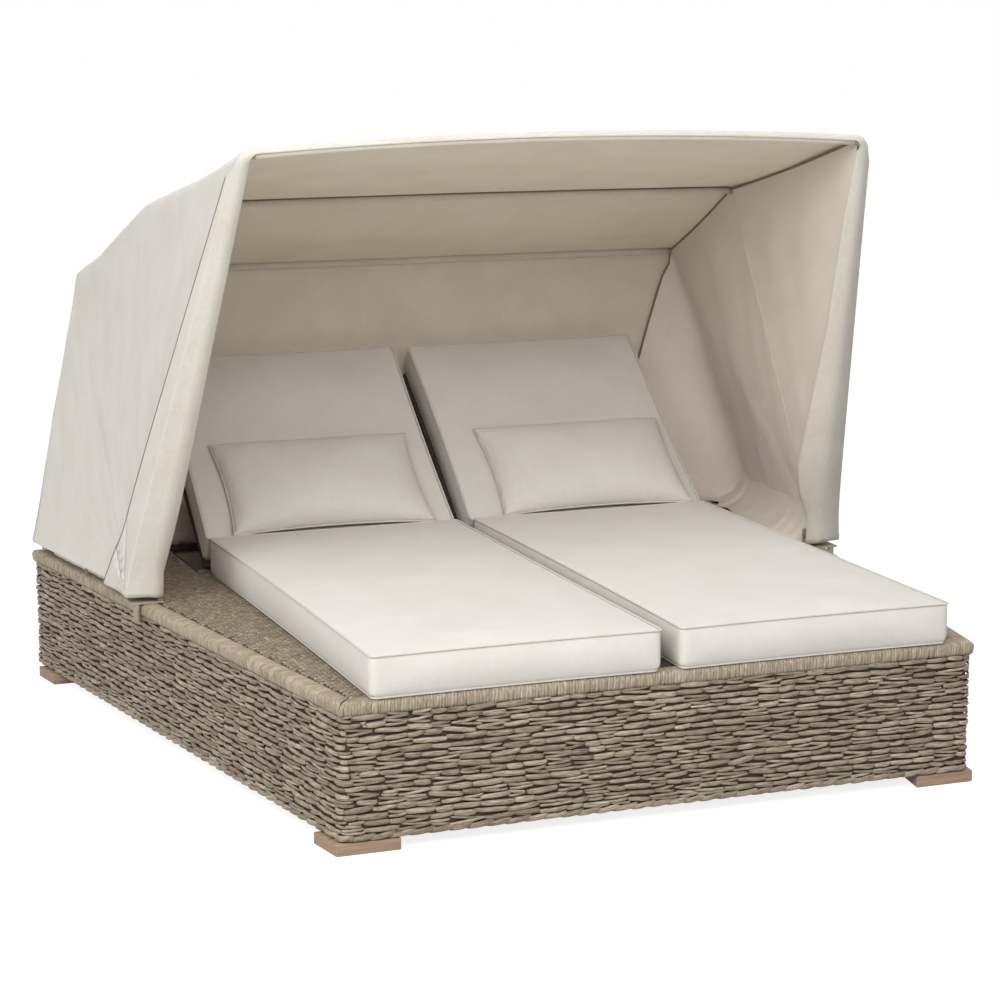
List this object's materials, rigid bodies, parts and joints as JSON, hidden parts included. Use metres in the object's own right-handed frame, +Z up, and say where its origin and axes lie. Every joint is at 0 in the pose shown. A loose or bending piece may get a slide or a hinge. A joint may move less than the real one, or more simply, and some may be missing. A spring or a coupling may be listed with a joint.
{
  "type": "outdoor daybed with canopy",
  "caption": "Double outdoor daybed: woven tapered base, boxed seat and reclining back cushions, lumbar pillows and a folding fabric canopy on bent tube bows.",
  "frame": {"origin": "middle of the bounding box, on the floor", "axes": "+X across the two lying places, +Y from the foot end to the head end, +Z up"},
  "size_m": [2.1692, 1.9924, 1.5198],
  "materials": {
    "woven_wicker": "weathered woven strand",
    "teak": "oiled",
    "powder_coated_tube": "satin powder coat",
    "cushion_fabric": "plain weave",
    "canopy_fabric": "plain weave",
    "steel": "satin"
  },
  "bodies": {
    "base": {"wicker_left": "woven_wicker", "wicker_right": "woven_wicker", "wicker_foot": "woven_wicker", "wicker_head": "woven_wicker", "rim_left": "woven_wicker", "rim_right": "woven_wicker", "rim_foot": "woven_wicker", "rim_head": "woven_wicker", "frame_rail_left": "powder_coated_tube", "frame_rail_right": "powder_coated_tube", "frame_rail_foot": "powder_coated_tube", "frame_rail_head": "powder_coated_tube", "hinge_beam": "powder_coated_tube", "middle_rail": "powder_coated_tube", "hinge_rod": "steel", "deck_seat": "woven_wicker", "deck_side_left": "woven_wicker", "deck_side_right": "woven_wicker", "foot_foot_left": "teak", "foot_foot_right": "teak", "foot_head_left": "teak", "foot_head_right": "teak", "seat_cushion_left": "cushion_fabric", "seat_cushion_right": "cushion_fabric", "prop_rack_left": "powder_coated_tube", "prop_rack_right": "powder_coated_tube", "pivot_bracket_left": "powder_coated_tube", "pivot_bracket_right": "powder_coated_tube", "pivot_pin_left": "steel", "pivot_pin_right": "steel", "hem_tie_left": "canopy_fabric", "hem_tie_right": "canopy_fabric"},
    "backrest_left": {"backrest_panel_left": "woven_wicker", "back_cushion_left": "cushion_fabric"},
    "backrest_right": {"backrest_panel_right": "woven_wicker", "back_cushion_right": "cushion_fabric"},
    "pillow_left": {"lumbar_pillow_left": "cushion_fabric"},
    "pillow_right": {"lumbar_pillow_right": "cushion_fabric"},
    "prop_left": {"backrest_prop_left": "powder_coated_tube"},
    "prop_right": {"backrest_prop_right": "powder_coated_tube"},
    "rear_bow": {"rear_bow_bar": "powder_coated_tube", "rear_bow_leg_left": "powder_coated_tube", "rear_bow_leg_right": "powder_coated_tube", "canopy_back": "canopy_fabric"},
    "middle_bow": {"middle_bow_bar": "powder_coated_tube", "middle_bow_leg_left": "powder_coated_tube", "middle_bow_leg_right": "powder_coated_tube", "canopy_rear": "canopy_fabric"},
    "front_bow": {"front_bow_bar": "powder_coated_tube", "front_bow_leg_left": "powder_coated_tube", "front_bow_leg_right": "powder_coated_tube", "canopy_front": "canopy_fabric", "canopy_wrap": "canopy_fabric"}
  },
  "joints": [
    {"name": "canopy_fold", "type": "hinge", "parent": "base", "child": "rear_bow", "pos_m": [0, 0.10314, 0.377], "axis": [1, 0, 0], "range_deg": [-29.94, 0], "deforming": ["canopy_back"]},
    {"name": "middle_bow_fold", "type": "hinge", "parent": "rear_bow", "child": "middle_bow", "pos_m": [0, 0.10314, 0.377], "axis": [1, 0, 0], "range_deg": [-25.61, 0], "deforming": ["canopy_rear"]},
    {"name": "front_bow_fold", "type": "hinge", "parent": "middle_bow", "child": "front_bow", "pos_m": [0, 0.10314, 0.377], "axis": [1, 0, 0], "range_deg": [-37.35, 0], "deforming": ["canopy_front", "canopy_wrap"]},
    {"name": "backrest_left_hinge", "type": "hinge", "parent": "base", "child": "backrest_left", "pos_m": [0, 0.41314, 0.34], "axis": [1, 0, 0], "range_deg": [0, 23]},
    {"name": "prop_left_hinge", "type": "hinge", "parent": "backrest_left", "child": "prop_left", "pos_m": [0, 0.73779, 0.57447], "axis": [1, 0, 0], "range_deg": [-0.5, 8]},
    {"name": "pillow_left_slide", "type": "slide", "parent": "backrest_left", "child": "pillow_left", "axis": [0, 0.7649, 0.6441], "range_m": [-0.001, 0.055]},
    {"name": "backrest_right_hinge", "type": "hinge", "parent": "base", "child": "backrest_right", "pos_m": [0, 0.41314, 0.34], "axis": [1, 0, 0], "range_deg": [0, 23]},
    {"name": "prop_right_hinge", "type": "hinge", "parent": "backrest_right", "child": "prop_right", "pos_m": [0, 0.73779, 0.57447], "axis": [1, 0, 0], "range_deg": [-0.5, 8]},
    {"name": "pillow_right_slide", "type": "slide", "parent": "backrest_right", "child": "pillow_right", "axis": [0, 0.7649, 0.6441], "range_m": [-0.001, 0.055]}
  ],
  "couplings": [
    {"joint": "middle_bow_fold", "follows": "canopy_fold", "ratio": 0.8387},
    {"joint": "front_bow_fold", "follows": "canopy_fold", "ratio": 1.2309},
    {"joint": "prop_left_hinge", "follows": "backrest_left_hinge", "ratio": 0.3},
    {"joint": "pillow_left_slide", "follows": "backrest_left_hinge", "m_per_rad": 0.125},
    {"joint": "prop_right_hinge", "follows": "backrest_right_hinge", "ratio": 0.3},
    {"joint": "pillow_right_slide", "follows": "backrest_right_hinge", "m_per_rad": 0.125}
  ]
}
